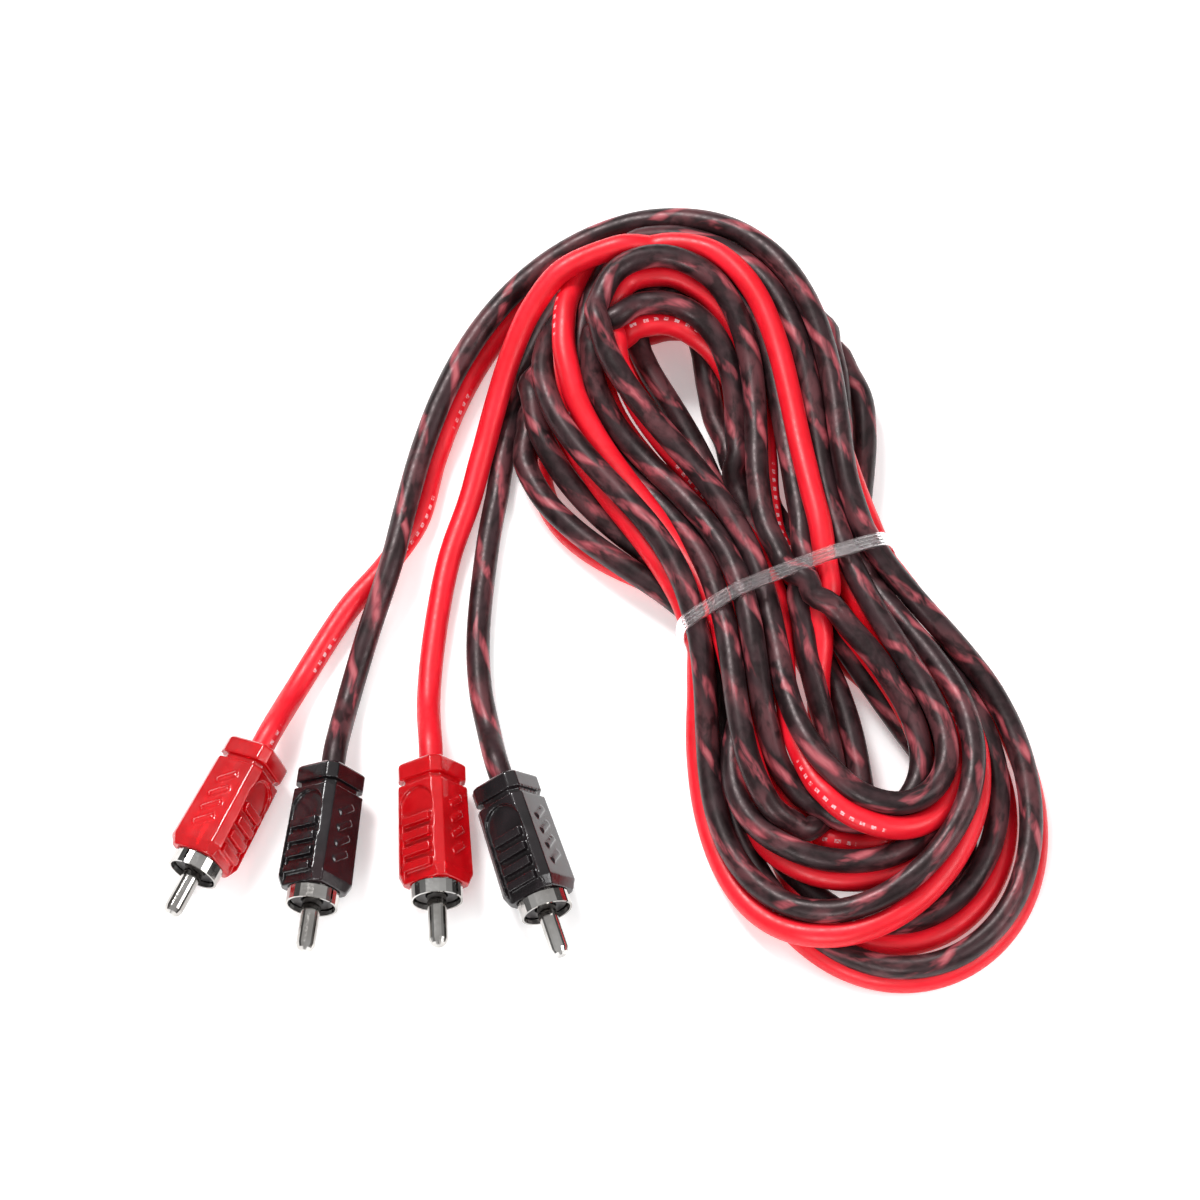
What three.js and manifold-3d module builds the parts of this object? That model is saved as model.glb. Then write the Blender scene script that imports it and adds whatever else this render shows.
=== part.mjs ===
// Two-channel phono lead: a red and a black lead, bonded side by side and wound into a tied hank.
// Both ends come out at one side, where the pair splits and each lead ends in a moulded plug.
// Millimetres, +Z up. The floor is z = 0, and the origin lies under the middle of the object.

import * as THREE from "three";
import { mergeVertices } from "three/addons/utils/BufferGeometryUtils.js";
import Module from "manifold-3d";

const wasm = await Module();
wasm.setup();

// ---------- Driving dimensions ----------

const MIDDLE = new THREE.Vector2(0.52, 0.575); // middle of the footprint on the floor plan below

const CLEARANCE = 0.3; // between pieces that seat on, pass through or are cut to each other
const TURNED_SIDES = 24; // facets of a turned piece

// Leads
const LEAD_DIAMETER = 4;
const LEAD_SIDES = 10;
const LEAD_STEP = 8; // length of one straight step of a lead
const LEAD_INSET = 4; // how far the jacket reaches into the plug
const CORE_DIAMETER = 1.4; // insulated inner conductor

// Overmould: a square body with a collar behind it and a groove between them.
// A plug's own X axis runs from the collar's rear face (x = 0) towards the pin.
const COLLAR_LENGTH = 3.2;
const COLLAR_SIDE = 9.2;
const GROOVE_LENGTH = 1.1;
const GROOVE_SIDE = 7.8;
const BODY_LENGTH = 17.4;
const BODY_REAR_SIDE = 9.4;
const BODY_FRONT_SIDE = 10;
const NOSE_LENGTH = 1.8; // tapered front end
const NOSE_SIDE = 8.8;
const EDGE_CHAMFER = 1.3;

// Thumb recess on two opposite faces: an arch with raised bars across it
const ARCH_SETBACK = 0.9; // from the groove to the arch's top
const ARCH_WIDTH = 7;
const ARCH_DEPTH = 0.6;
const BAR_COUNT = 4;
const BAR_PITCH = 2.7;
const BAR_LENGTH = 1.5; // along the plug
const BAR_WIDTH = 5.6; // across the plug
const BAR_HEIGHT = 1; // above the recess's floor

// Slanted dashes on the other two faces
const DASH_COUNT = 4;
const DASH_PITCH = 2.8;
const DASH_LENGTH = 3.4;
const DASH_WIDTH = 0.9;
const DASH_HEIGHT = 0.25;
const DASH_SLANT = Math.PI / 5;

// Ground shell: a split ring in front of the overmould, on a neck that is held inside it
const RING_DIAMETER = 8.8;
const RING_LENGTH = 2.35;
const SHELL_WALL = 0.4;
const NECK_DIAMETER = 6.8;
const NECK_LENGTH = 5;
const SLOT_WIDTH = 0.4;

// Centre pin and its insulator
const PIN_DIAMETER = 3.2;
const PIN_REACH = 8; // beyond the ring's rim
const PIN_HEEL = 4; // full diameter behind the rim
const PIN_SEAM = 0.35; // width and depth of the folded pin's seam
const TAIL_DIAMETER = 1.8;
const TAIL_LENGTH = 7.5; // solder tail behind the heel
const INSULATOR_RECESS = 1; // its face below the ring's rim
const SPIGOT_WALL = 0.7; // insulator's wall around the pin's tail
const SPIGOT_REACH = 1; // behind the shell's neck

// Ground crimp and shield, inside the overmould
const CRIMP_WALL = 0.35;
const CRIMP_LENGTH = 2.6;
const SHIELD_LENGTH = 2.2;
const STRAP_WIDTH = 1.6;

// Hank and tie. The hank's own X axis runs from its upper end to its lower end, through the waist.
const HANK_AT = new THREE.Vector2(28.9, 0.6);
const HANK_HEADING = THREE.MathUtils.degToRad(-66);
const HANK_HEIGHT = 18;
const WAIST_WIDTH = 38;
const UPPER_LOOP = { along: -46.7, across: 2, halfLength: 29, halfWidth: 24 };
const LOWER_LOOP = { along: 48, across: -1, halfLength: 27.5, halfWidth: 27.5 };
const BULGE = { along: -38, across: -33 }; // where the upper loop's turns fan out
const WAIST_EASE = 18; // length over which the sides straighten
const TIE_WIDTH = 2.4;
const TIE_THICKNESS = 1;

// Plugs: where each rear face stands on the floor plan, which way the pin points and its roll.
const PLUGS = [
  { name: "plug_1", at: [-59, -27.5], heading: -115.6, roll: 21, colour: "red" },
  { name: "plug_2", at: [-46.8, -31.1], heading: -97.1, roll: -50, colour: "black" },
  { name: "plug_3", at: [-30.3, -30], heading: -87.3, roll: -52, colour: "red" },
  { name: "plug_4", at: [-18.3, -33.2], heading: -72.5, roll: -54, colour: "black" },
];

// Route of each lead's centreline from its plug into the hank: chosen points, [x, y, z].
const ROUTES = {
  plug_1: [
    [-53.3, -14.6, 2.5],
    [-44.8, 0.4, 2.4],
    [-38.5, 8.5, 2.3],
    [-33.2, 17.1, 2.3],
    [-30.3, 28.9, 2.3],
    [-25.8, 41.2, 3.5],
    [-19.6, 52.9, 6],
    [-13.7, 59.1, 7.8],
    [-7, 64.3, 9.2],
    [0.7, 67.1, 10],
  ],
  plug_2: [
    [-44.6, -17, 2.4],
    [-41.4, -5.3, 4],
    [-37.3, 7.8, 6.3],
    [-35.2, 17.5, 6.2],
    [-32.2, 29.5, 6.3],
    [-27.6, 42, 7.5],
    [-21.2, 54, 10],
    [-15, 60.6, 11.8],
    [-8, 66, 13.2],
    [0, 69, 14],
  ],
  plug_3: [
    [-31, -16.5, 2.4],
    [-30.2, -5.2, 2.3],
    [-27.8, 9.8, 2.3],
    [-24.4, 20.6, 3],
    [-21.4, 31.8, 5],
    [-17.1, 42.6, 8],
    [-11.7, 52.5, 11],
    [-5.7, 59.1, 13],
    [1.1, 63, 15],
  ],
  plug_4: [
    [-20.9, -22, 2.6],
    [-22.3, -14.6, 2.3],
    [-22.8, -5.2, 2.3],
    [-21.6, 9.8, 2.3],
    [-20.2, 19.4, 2.3],
    [-17.7, 30.6, 2.9],
    [-13.9, 41.1, 5.3],
    [-8.8, 50.5, 8.1],
    [-3.4, 56.4, 10],
    [2.9, 59.9, 12],
  ],
};

// ---------- Looks ----------

const finish = (color, roughness, metalness = 0, opacity = 1) =>
  new THREE.MeshStandardMaterial({
    color,
    roughness,
    metalness,
    opacity,
    transparent: opacity < 1,
  });

const LOOKS = {
  red_jacket: finish("#e0202f", 0.4),
  black_jacket: finish("#33292c", 0.4),
  red_overmould: finish("#d8182a", 0.25, 0, 0.8),
  black_overmould: finish("#2c2226", 0.25, 0, 0.85),
  plated_metal: finish("#c9c9cc", 0.15, 1),
  insulator: finish("#1c1c1e", 0.5),
  core: finish("#e8e4dc", 0.5),
  copper: finish("#b8734a", 0.35, 1),
  tie: finish("#dfe4e6", 0.2, 0, 0.5),
};

// ---------- Solids ----------

function toSolid(geometry) {
  const flat = geometry.index ? geometry.toNonIndexed() : geometry;
  const bare = new THREE.BufferGeometry();
  bare.setAttribute("position", flat.getAttribute("position"));
  const merged = mergeVertices(bare, 1e-4);
  const vertProperties = merged.getAttribute("position").array;
  const triVerts = new Uint32Array(merged.index.array);
  return new wasm.Manifold(new wasm.Mesh({ numProp: 3, vertProperties, triVerts }));
}

function toGeometry(solid) {
  const { vertProperties, triVerts } = solid.getMesh();
  const geometry = new THREE.BufferGeometry();
  geometry.setAttribute("position", new THREE.BufferAttribute(vertProperties, 3));
  geometry.setIndex(new THREE.BufferAttribute(triVerts, 1));
  return geometry;
}

// A flat outline, [x, y] points, made `depth` thick along Z about z = 0.
function slab(points, depth) {
  const shape = new THREE.Shape(points.map(([x, y]) => new THREE.Vector2(x, y)));
  const geometry = new THREE.ExtrudeGeometry(shape, { depth, bevelEnabled: false });
  return geometry.translate(0, 0, -depth / 2);
}

// A profile of [x, radius] points turned about the X axis.
function turned(profile) {
  const points = profile.map(([x, radius]) => new THREE.Vector2(radius, x));
  return new THREE.LatheGeometry(points, TURNED_SIDES).rotateZ(-Math.PI / 2);
}

const ring = (profile) => turned([...profile, profile[0]]);

// ---------- Plug stations along its axis ----------

const BODY_START = COLLAR_LENGTH + GROOVE_LENGTH;
const OVERMOULD_LENGTH = BODY_START + BODY_LENGTH;
const RING_START = OVERMOULD_LENGTH + CLEARANCE;
const RIM = RING_START + RING_LENGTH;
const NECK_START = OVERMOULD_LENGTH - NECK_LENGTH;
const INSULATOR_FACE = RIM - INSULATOR_RECESS;
const HEEL = RIM - PIN_HEEL;
const TAIL_START = HEEL - TAIL_LENGTH;
const PIN_TIP = RIM + PIN_REACH;
const LEAD_BORE_RADIUS = LEAD_DIAMETER / 2 + CLEARANCE;
const PIN_RADIUS = PIN_DIAMETER / 2;
const TAIL_RADIUS = TAIL_DIAMETER / 2;
const LUG_OFFSET = LEAD_BORE_RADIUS - 2 * CLEARANCE; // the strap's height above the plug's axis

// The overmould's half width at each station of its length
function overmouldWidths() {
  const collarHalf = COLLAR_SIDE / 2;
  const grooveHalf = GROOVE_SIDE / 2;
  const collarBevel = 0.5;
  return [
    [0, collarHalf - collarBevel],
    [collarBevel, collarHalf],
    [COLLAR_LENGTH, collarHalf],
    [COLLAR_LENGTH, grooveHalf],
    [BODY_START, grooveHalf],
    [BODY_START, BODY_REAR_SIDE / 2],
    [OVERMOULD_LENGTH - NOSE_LENGTH, BODY_FRONT_SIDE / 2],
    [OVERMOULD_LENGTH, NOSE_SIDE / 2],
  ];
}

// The overmould's side outline, turned by `angle` about X. Diagonal outlines trim the four edges.
function overmouldSlab(angle) {
  const diagonal = Math.abs(Math.sin(2 * angle)) > 0.5;
  const half = (h) => (diagonal ? (2 * h - EDGE_CHAMFER) * Math.SQRT1_2 : h);
  const upper = overmouldWidths().map(([x, h]) => [x, half(h)]);
  const lower = upper.map(([x, h]) => [x, -h]).reverse();
  return toSolid(slab([...upper, ...lower], 2 * BODY_FRONT_SIDE).rotateX(angle));
}

const faceHalfAt = (x) => {
  const rise = (x - BODY_START) / (BODY_LENGTH - NOSE_LENGTH);
  return THREE.MathUtils.lerp(BODY_REAR_SIDE, BODY_FRONT_SIDE, rise) / 2;
};

// Arch-shaped cutter for the thumb recess of the +Y face
function archCutter() {
  const radius = ARCH_WIDTH / 2;
  const top = BODY_START + ARCH_SETBACK + radius;
  const shape = new THREE.Shape();
  shape.moveTo(OVERMOULD_LENGTH + 1, -radius);
  shape.lineTo(OVERMOULD_LENGTH + 1, radius);
  shape.lineTo(top, radius);
  shape.absarc(top, 0, radius, Math.PI / 2, (3 * Math.PI) / 2, false);
  const depth = BODY_FRONT_SIDE;
  const options = { depth, bevelEnabled: false, curveSegments: 8 };
  const cutter = new THREE.ExtrudeGeometry(shape, options);
  return cutter.rotateX(-Math.PI / 2).translate(0, BODY_REAR_SIDE / 2 - ARCH_DEPTH, 0);
}

function gripBar(index) {
  const last = OVERMOULD_LENGTH - NOSE_LENGTH - BAR_LENGTH / 2;
  const x = last - index * BAR_PITCH;
  const bar = new THREE.BoxGeometry(BAR_LENGTH, 2 * BAR_HEIGHT, BAR_WIDTH);
  return bar.translate(x, BODY_REAR_SIDE / 2 - ARCH_DEPTH, 0);
}

function dash(index) {
  const middle = BODY_START + (BODY_LENGTH - NOSE_LENGTH) / 2;
  const x = middle + (index - (DASH_COUNT - 1) / 2) * DASH_PITCH;
  const thickness = 2;
  const bar = new THREE.BoxGeometry(DASH_WIDTH, DASH_LENGTH, thickness);
  const z = faceHalfAt(x) + DASH_HEIGHT - thickness / 2;
  return bar.rotateZ(DASH_SLANT).translate(x, 0, z);
}

function overmould() {
  let body = overmouldSlab(0);
  for (const quarter of [1, 2, 3]) {
    body = body.intersect(overmouldSlab((quarter * Math.PI) / 4));
  }
  for (const side of [0, Math.PI]) {
    body = body.subtract(toSolid(archCutter().rotateX(side)));
    for (let i = 0; i < BAR_COUNT; i++) {
      body = body.add(toSolid(gripBar(i).rotateX(side)));
    }
    for (let i = 0; i < DASH_COUNT; i++) {
      body = body.add(toSolid(dash(i).rotateX(side)));
    }
  }
  const neckBore = NECK_DIAMETER / 2 + CLEARANCE;
  const bore = turned([
    [-1, 0],
    [-1, LEAD_BORE_RADIUS],
    [NECK_START - CLEARANCE, LEAD_BORE_RADIUS],
    [NECK_START - CLEARANCE, neckBore],
    [OVERMOULD_LENGTH + 1, neckBore],
    [OVERMOULD_LENGTH + 1, 0],
  ]);
  return toGeometry(body.subtract(toSolid(bore)));
}

// ---------- Metal and insulating pieces of a plug ----------

function groundShell() {
  const neck = NECK_DIAMETER / 2;
  const rim = RING_DIAMETER / 2;
  const backHole = TAIL_RADIUS + SPIGOT_WALL + 2 * CLEARANCE;
  const shell = toSolid(
    ring([
      [NECK_START, backHole],
      [NECK_START, neck],
      [RING_START, neck],
      [RING_START, rim],
      [RIM, rim],
      [RIM, rim - SHELL_WALL],
      [RING_START + SHELL_WALL, rim - SHELL_WALL],
      [RING_START + SHELL_WALL, neck - SHELL_WALL],
      [NECK_START + SHELL_WALL, neck - SHELL_WALL],
      [NECK_START + SHELL_WALL, backHole],
    ]),
  );
  const slot = new THREE.BoxGeometry(RING_LENGTH * 2, SLOT_WIDTH, RING_DIAMETER);
  slot.translate(RIM, 0, RING_DIAMETER / 2);
  return toGeometry(shell.subtract(toSolid(slot)));
}

function insulator() {
  const spigot = TAIL_RADIUS + CLEARANCE + SPIGOT_WALL;
  const barrel = NECK_DIAMETER / 2 - SHELL_WALL - CLEARANCE;
  const flange = RING_DIAMETER / 2 - SHELL_WALL - CLEARANCE;
  const flangeStart = RING_START + SHELL_WALL + CLEARANCE;
  return ring([
    [NECK_START - SPIGOT_REACH, TAIL_RADIUS + CLEARANCE],
    [NECK_START - SPIGOT_REACH, spigot],
    [NECK_START + SHELL_WALL + CLEARANCE, spigot],
    [NECK_START + SHELL_WALL + CLEARANCE, barrel],
    [flangeStart, barrel],
    [flangeStart, flange],
    [INSULATOR_FACE, flange],
    [INSULATOR_FACE, PIN_RADIUS + CLEARANCE],
    [HEEL - CLEARANCE, PIN_RADIUS + CLEARANCE],
    [HEEL - CLEARANCE, TAIL_RADIUS + CLEARANCE],
  ]);
}

function centrePin() {
  const tipRadius = PIN_RADIUS * 0.45;
  const pin = toSolid(
    turned([
      [TAIL_START, 0],
      [TAIL_START, TAIL_RADIUS],
      [HEEL, TAIL_RADIUS],
      [HEEL, PIN_RADIUS],
      [PIN_TIP - PIN_RADIUS * 0.7, PIN_RADIUS],
      [PIN_TIP - PIN_RADIUS * 0.25, PIN_RADIUS * 0.8],
      [PIN_TIP, tipRadius],
      [PIN_TIP, 0],
    ]),
  );
  const seam = new THREE.BoxGeometry(PIN_REACH, PIN_SEAM, 2 * PIN_SEAM);
  seam.translate(RIM + PIN_REACH / 2 + 1, 0, PIN_RADIUS);
  return toGeometry(pin.subtract(toSolid(seam)));
}

// The shell's solder strap with the crimp that grips the shield
function groundLug() {
  const inner = CORE_DIAMETER / 2 + CLEARANCE;
  const outer = inner + CRIMP_WALL;
  const crimpStart = LEAD_INSET + SHIELD_LENGTH + 2 * CLEARANCE;
  const crimpEnd = crimpStart + CRIMP_LENGTH;
  const strapEnd = NECK_START - SPIGOT_REACH - CLEARANCE;
  const crimp = toSolid(
    ring([
      [crimpStart, inner],
      [crimpStart, outer],
      [crimpEnd, outer],
      [crimpEnd, inner],
    ]),
  );
  const strapLength = strapEnd - crimpStart;
  const strap = new THREE.BoxGeometry(strapLength, STRAP_WIDTH, CRIMP_WALL);
  strap.translate(crimpStart + strapLength / 2, 0, LUG_OFFSET);
  const web = new THREE.BoxGeometry(CRIMP_LENGTH, CRIMP_WALL, LUG_OFFSET - inner);
  web.translate(crimpStart + CRIMP_LENGTH / 2, 0, (LUG_OFFSET + outer) / 2);
  return toGeometry(crimp.add(toSolid(strap)).add(toSolid(web)));
}

function shield() {
  const inner = CORE_DIAMETER / 2 + CLEARANCE;
  const start = LEAD_INSET + CLEARANCE;
  return ring([
    [start, inner],
    [start, LEAD_DIAMETER / 2 - CLEARANCE],
    [start + SHIELD_LENGTH, inner + CRIMP_WALL],
    [start + SHIELD_LENGTH, inner],
  ]);
}

function coreWire() {
  const start = LEAD_INSET + CLEARANCE;
  const radius = CORE_DIAMETER / 2;
  return turned([
    [start, 0],
    [start, radius],
    [TAIL_START - CLEARANCE, radius],
    [TAIL_START - CLEARANCE, 0],
  ]);
}

// ---------- Assembly ----------

function piece(name, geometry, material) {
  const mesh = new THREE.Mesh(geometry, material.clone());
  mesh.name = name;
  return mesh;
}

// Height of a plug's axis when its overmould, turned by `roll`, lies on the floor
function restHeight(geometry, roll) {
  const turnedBody = geometry.clone().rotateX(roll);
  turnedBody.computeBoundingBox();
  return -turnedBody.boundingBox.min.z;
}

function plug({ name, at, heading, roll, colour }) {
  const group = new THREE.Group();
  const body = overmould();
  const rollAngle = THREE.MathUtils.degToRad(roll);
  group.add(
    piece(`${name}_overmould`, body, LOOKS[`${colour}_overmould`]),
    piece(`${name}_ground_shell`, groundShell(), LOOKS.plated_metal),
    piece(`${name}_insulator`, insulator(), LOOKS.insulator),
    piece(`${name}_centre_pin`, centrePin(), LOOKS.plated_metal),
    piece(`${name}_ground_lug`, groundLug(), LOOKS.plated_metal),
    piece(`${name}_shield`, shield(), LOOKS.copper),
    piece(`${name}_core_wire`, coreWire(), LOOKS.core),
  );
  group.rotation.set(rollAngle, 0, THREE.MathUtils.degToRad(heading), "ZYX");
  group.position.set(at[0], at[1], restHeight(body, rollAngle));
  group.updateMatrixWorld(true);
  return group;
}

// A lead from inside its plug, straight out of the collar and along its route into the hank
function leadTube(plugGroup, route) {
  const straight = [LEAD_INSET, 0, -LEAD_DIAMETER].map((x) =>
    plugGroup.localToWorld(new THREE.Vector3(x, 0, 0)),
  );
  const points = [...straight, ...route.map((p) => new THREE.Vector3(...p))];
  const path = new THREE.CatmullRomCurve3(points);
  const section = new THREE.Shape();
  for (let i = 0; i < LEAD_SIDES; i++) {
    const angle = (2 * Math.PI * i) / LEAD_SIDES;
    const corner = [Math.cos(angle), Math.sin(angle)].map((c) => (c * LEAD_DIAMETER) / 2);
    if (i === 0) section.moveTo(...corner);
    else section.lineTo(...corner);
  }
  const steps = Math.ceil(path.getLength() / LEAD_STEP);
  return new THREE.ExtrudeGeometry(section, { steps, extrudePath: path });
}

// Point on a loop's round end, with a handle further along its outline
function loopPoint({ along, across, halfLength, halfWidth }, degrees, grow, reach = 0) {
  const angle = THREE.MathUtils.degToRad(degrees);
  const heading = new THREE.Vector2(-halfLength * Math.sin(angle), halfWidth * Math.cos(angle));
  const x = along + (halfLength + grow) * Math.cos(angle);
  const y = across + (halfWidth + grow) * Math.sin(angle);
  const { x: dx, y: dy } = heading.setLength(Math.abs(reach)).multiplyScalar(Math.sign(reach));
  return { x, y, handleX: x + dx, handleY: y + dy };
}

function loopArc(shape, { along, across, halfLength, halfWidth }, from, to, grow) {
  const [start, end] = [from, to].map(THREE.MathUtils.degToRad);
  shape.absellipse(along, across, halfLength + grow, halfWidth + grow, start, end);
}

// The hank's outline, grown by `grow`: round ends joined through the waist, with one bulging side
function hankOutline(grow) {
  const waist = WAIST_WIDTH / 2 + grow;
  const bulge = { x: BULGE.along, y: BULGE.across - grow };
  const ease = WAIST_EASE;
  const lowerEnd = loopPoint(LOWER_LOOP, 80, grow, ease);
  const upperStart = loopPoint(UPPER_LOOP, 100, grow, -ease);
  const upperEnd = loopPoint(UPPER_LOOP, 235, grow, ease / 2);
  const lowerStart = loopPoint(LOWER_LOOP, -80, grow, -ease);
  const shape = new THREE.Shape();
  const curve = (fromX, fromY, toX, toY, x, y) =>
    shape.bezierCurveTo(fromX, fromY, toX, toY, x, y);
  loopArc(shape, LOWER_LOOP, -80, 80, grow);
  curve(lowerEnd.handleX, lowerEnd.handleY, ease, waist, 0, waist);
  curve(-ease, waist, upperStart.handleX, upperStart.handleY, upperStart.x, upperStart.y);
  loopArc(shape, UPPER_LOOP, 100, 235, grow);
  curve(upperEnd.handleX, upperEnd.handleY, bulge.x - ease / 2, bulge.y, bulge.x, bulge.y);
  curve(bulge.x + ease, bulge.y, -ease, -waist, 0, -waist);
  curve(ease, -waist, lowerStart.handleX, lowerStart.handleY, lowerStart.x, lowerStart.y);
  return shape;
}

function hankBlock(grow, height) {
  const options = { depth: height, bevelEnabled: false, curveSegments: 10 };
  return new THREE.ExtrudeGeometry(hankOutline(grow), options);
}

// The hank has a shallow channel under its waist, where the tie passes.
function hank() {
  const channelDepth = TIE_THICKNESS + CLEARANCE;
  const channelWidth = TIE_WIDTH + 2 * CLEARANCE;
  const channel = new THREE.BoxGeometry(channelWidth, 2 * WAIST_WIDTH, 2 * channelDepth);
  return toGeometry(toSolid(hankBlock(0, HANK_HEIGHT)).subtract(toSolid(channel)));
}

// Rounded rectangle around the waist's section, in the tie's own X (across) and Y (up)
function tieOutline(path, margin) {
  const half = WAIST_WIDTH / 2 + margin;
  const bottom = TIE_THICKNESS + CLEARANCE - margin;
  const top = HANK_HEIGHT + margin;
  const corner = Math.max(margin - CLEARANCE, 0) + 0.2;
  path.moveTo(-half + corner, bottom);
  path.lineTo(half - corner, bottom);
  path.absarc(half - corner, bottom + corner, corner, -Math.PI / 2, 0);
  path.lineTo(half, top - corner);
  path.absarc(half - corner, top - corner, corner, 0, Math.PI / 2);
  path.lineTo(-half + corner, top);
  path.absarc(-half + corner, top - corner, corner, Math.PI / 2, Math.PI);
  path.lineTo(-half, bottom + corner);
  path.absarc(-half + corner, bottom + corner, corner, Math.PI, (3 * Math.PI) / 2);
  return path;
}

function tie() {
  const shape = tieOutline(new THREE.Shape(), CLEARANCE + TIE_THICKNESS);
  shape.holes.push(tieOutline(new THREE.Path(), CLEARANCE));
  const options = { depth: TIE_WIDTH, bevelEnabled: false, curveSegments: 4 };
  const band = new THREE.ExtrudeGeometry(shape, options).translate(0, 0, -TIE_WIDTH / 2);
  return band.rotateX(Math.PI / 2).rotateZ(Math.PI / 2);
}

function place(geometry) {
  return geometry.rotateZ(HANK_HEADING).translate(HANK_AT.x, HANK_AT.y, 0);
}

const root = new THREE.Group();
root.position.set(-MIDDLE.x, -MIDDLE.y, 0);
// The leads end at the hank's outline at any height, so the room cut from them is a column above it too.
const hankRoom = toSolid(place(hankBlock(CLEARANCE, HANK_HEIGHT + 3 * LEAD_DIAMETER)));
for (const spec of PLUGS) {
  const group = plug(spec);
  const tube = toSolid(leadTube(group, ROUTES[spec.name])).subtract(hankRoom);
  const jacket = LOOKS[`${spec.colour}_jacket`];
  root.add(group, piece(`${spec.name}_lead`, toGeometry(tube), jacket));
}
root.add(piece("hank", place(hank()), LOOKS.black_jacket));
root.add(piece("tie", place(tie()), LOOKS.tie));

export default root;
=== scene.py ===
"""Looks of a two-channel phono lead, wound into a tied hank with its four plugs laid out in a fan.

Metres in Blender, millimetres in the tables below. The two leads follow listed points from plug
to plug: a table for each lead where it runs free, and tables of the bonded pair where it is
wound. A short relaxation then settles the turns against each other, the tie and the floor.
"""
import math

import bpy
import numpy as np
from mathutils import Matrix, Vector


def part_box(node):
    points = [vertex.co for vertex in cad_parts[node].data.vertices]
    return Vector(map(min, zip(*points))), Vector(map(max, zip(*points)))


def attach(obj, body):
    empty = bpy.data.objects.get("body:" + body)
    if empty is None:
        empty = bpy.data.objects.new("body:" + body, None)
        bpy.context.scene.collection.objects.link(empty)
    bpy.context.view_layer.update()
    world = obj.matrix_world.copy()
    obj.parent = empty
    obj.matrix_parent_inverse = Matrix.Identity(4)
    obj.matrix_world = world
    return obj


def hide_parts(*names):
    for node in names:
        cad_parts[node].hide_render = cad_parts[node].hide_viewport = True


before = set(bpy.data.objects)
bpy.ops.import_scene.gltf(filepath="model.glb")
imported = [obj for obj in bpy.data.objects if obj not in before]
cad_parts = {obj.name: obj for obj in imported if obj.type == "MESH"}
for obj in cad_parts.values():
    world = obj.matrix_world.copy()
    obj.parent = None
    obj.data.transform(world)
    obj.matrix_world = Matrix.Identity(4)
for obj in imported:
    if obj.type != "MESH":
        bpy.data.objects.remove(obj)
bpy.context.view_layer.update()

MM = 0.001

# ---------- Camera ----------

AIM = (-2.8 * MM, 2.7 * MM, 0)
ELEVATION = math.radians(65)
LENS_MM = 200
SENSOR_MM = 36
CLIP_END = 20
VIEW_WIDTH = 0.203  # metres across the picture at the aim point


def make_camera():
    data = bpy.data.cameras.new("camera")
    data.lens = LENS_MM
    data.sensor_width = SENSOR_MM
    data.clip_end = CLIP_END
    camera = bpy.data.objects.new("camera", data)
    bpy.context.scene.collection.objects.link(camera)
    distance = VIEW_WIDTH * LENS_MM / SENSOR_MM
    back = Vector((0, -math.cos(ELEVATION), math.sin(ELEVATION)))
    camera.location = Vector(AIM) + distance * back
    camera.rotation_euler = (math.pi / 2 - ELEVATION, 0, 0)
    bpy.context.scene.camera = camera


make_camera()

# ---------- The leads' routes ----------

LEAD = 4.0  # diameter of one lead
PITCH = 4.12  # between the centres of two leads that touch
STEP = 2.5  # between the points of a relaxed lead
MIDDLE = np.array([0.52, 0.575, 0.0])  # the model's middle on the floor plan that the routes use

LEAD_INSET = 4.0  # how far a lead runs into its plug
PLUGS = {
    "plug_1": {"at": (-59, -27.5), "heading": -115.6, "colour": "red"},
    "plug_2": {"at": (-46.8, -31.1), "heading": -97.1, "colour": "black"},
    "plug_3": {"at": (-30.3, -30), "heading": -87.3, "colour": "red"},
    "plug_4": {"at": (-18.3, -33.2), "heading": -72.5, "colour": "black"},
}
ROUTES = {
    "plug_1": [
        (-53.3, -14.6, 2.5), (-44.8, 0.4, 2.4), (-38.5, 8.5, 2.3), (-33.2, 17.1, 2.3),
        (-30.3, 28.9, 2.3), (-25.8, 41.2, 3.5), (-19.6, 52.9, 6), (-13.7, 59.1, 7.8),
        (-7, 64.3, 9.2), (0.7, 67.1, 10),
    ],
    "plug_2": [
        (-44.6, -17, 2.4), (-41.4, -5.3, 4), (-37.3, 7.8, 6.3), (-35.2, 17.5, 6.2),
        (-32.2, 29.5, 6.3), (-27.6, 42, 7.5), (-21.2, 54, 10), (-15, 60.6, 11.8),
        (-8, 66, 13.2), (0, 69, 14),
    ],
    "plug_3": [
        (-31, -16.5, 2.4), (-30.2, -5.2, 2.3), (-27.8, 9.8, 2.3), (-24.4, 20.6, 3),
        (-21.4, 31.8, 5), (-17.1, 42.6, 8), (-11.7, 52.5, 11), (-5.7, 59.1, 13),
        (1.1, 63, 15),
    ],
    "plug_4": [
        (-20.9, -22, 2.6), (-22.3, -14.6, 2.3), (-22.8, -5.2, 2.3), (-21.6, 9.8, 2.3),
        (-20.2, 19.4, 2.3), (-17.7, 30.6, 2.9), (-13.9, 41.1, 5.3), (-8.8, 50.5, 8.1),
        (-3.4, 56.4, 10), (2.9, 59.9, 12),
    ],
}

CORD_ENDS = {"red": ("plug_1", "plug_3"), "black": ("plug_2", "plug_4")}

# The hank's frame: u runs from its upper end to its lower end through the waist, v across.
HANK_AT = np.array([28.9, 0.6])
HANK_HEADING = math.radians(-66)
HANK_COS, HANK_SIN = math.cos(HANK_HEADING), math.sin(HANK_HEADING)

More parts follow.
